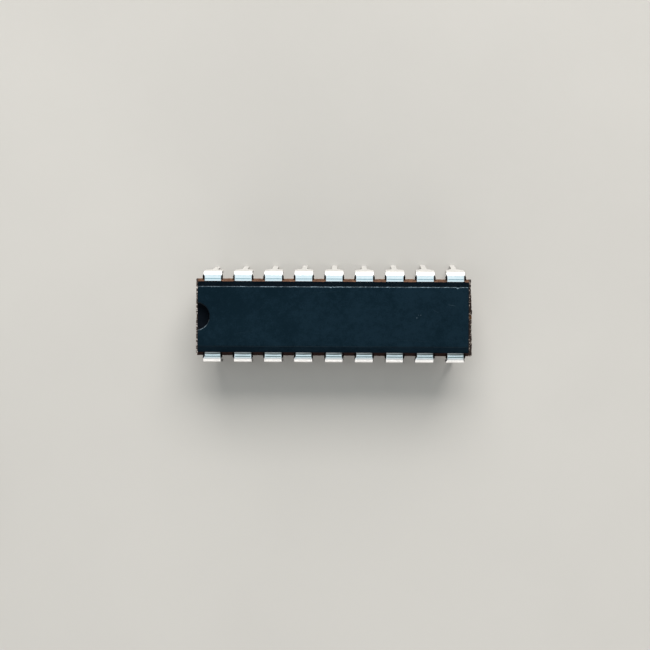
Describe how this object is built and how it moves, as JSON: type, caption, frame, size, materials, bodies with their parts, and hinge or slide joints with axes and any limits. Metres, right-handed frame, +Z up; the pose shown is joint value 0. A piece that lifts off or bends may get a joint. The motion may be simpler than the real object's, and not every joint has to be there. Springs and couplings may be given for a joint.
{
  "type": "dip integrated circuit chip",
  "caption": "Plastic dual-in-line package: a black drafted epoxy body with a half-round notch at one end and a row of bent, tinned leads down each long side.",
  "frame": {"origin": "under the middle of the moulded body, on the plane that the tips of the leads stand on", "axes": "+X along the body, away from the notched end; +Y across it, towards the row of leads 10 to 18; +Z up, out of the top face"},
  "size_m": [0.0231, 0.0085, 0.0071],
  "materials": {
    "moulding_epoxy": "fine matt moulded black epoxy, slightly blue in daylight",
    "tinned_lead": "bright tin plate over a stamped copper alloy",
    "frame_copper": "bare stamped copper alloy",
    "bonding_paste": "cured silver-filled paste",
    "silicon": "polished grey silicon",
    "gold_wire": "bright drawn gold wire"
  },
  "bodies": {
    "root": {"moulded_body": "moulding_epoxy", "lead_01": "tinned_lead", "lead_02": "tinned_lead", "lead_03": "tinned_lead", "lead_04": "tinned_lead", "lead_05": "tinned_lead", "lead_06": "tinned_lead", "lead_07": "tinned_lead", "lead_08": "tinned_lead", "lead_09": "tinned_lead", "lead_10": "tinned_lead", "lead_11": "tinned_lead", "lead_12": "tinned_lead", "lead_13": "tinned_lead", "lead_14": "tinned_lead", "lead_15": "tinned_lead", "lead_16": "tinned_lead", "lead_17": "tinned_lead", "lead_18": "tinned_lead", "die_paddle": "frame_copper", "die_attach": "bonding_paste", "silicon_die": "silicon", "bond_wire_01": "gold_wire", "bond_wire_02": "gold_wire", "bond_wire_03": "gold_wire", "bond_wire_04": "gold_wire", "bond_wire_05": "gold_wire", "bond_wire_06": "gold_wire", "bond_wire_07": "gold_wire", "bond_wire_08": "gold_wire", "bond_wire_09": "gold_wire", "bond_wire_10": "gold_wire", "bond_wire_11": "gold_wire", "bond_wire_12": "gold_wire", "bond_wire_13": "gold_wire", "bond_wire_14": "gold_wire", "bond_wire_15": "gold_wire", "bond_wire_16": "gold_wire", "bond_wire_17": "gold_wire", "bond_wire_18": "gold_wire"}
  },
  "joints": []
}
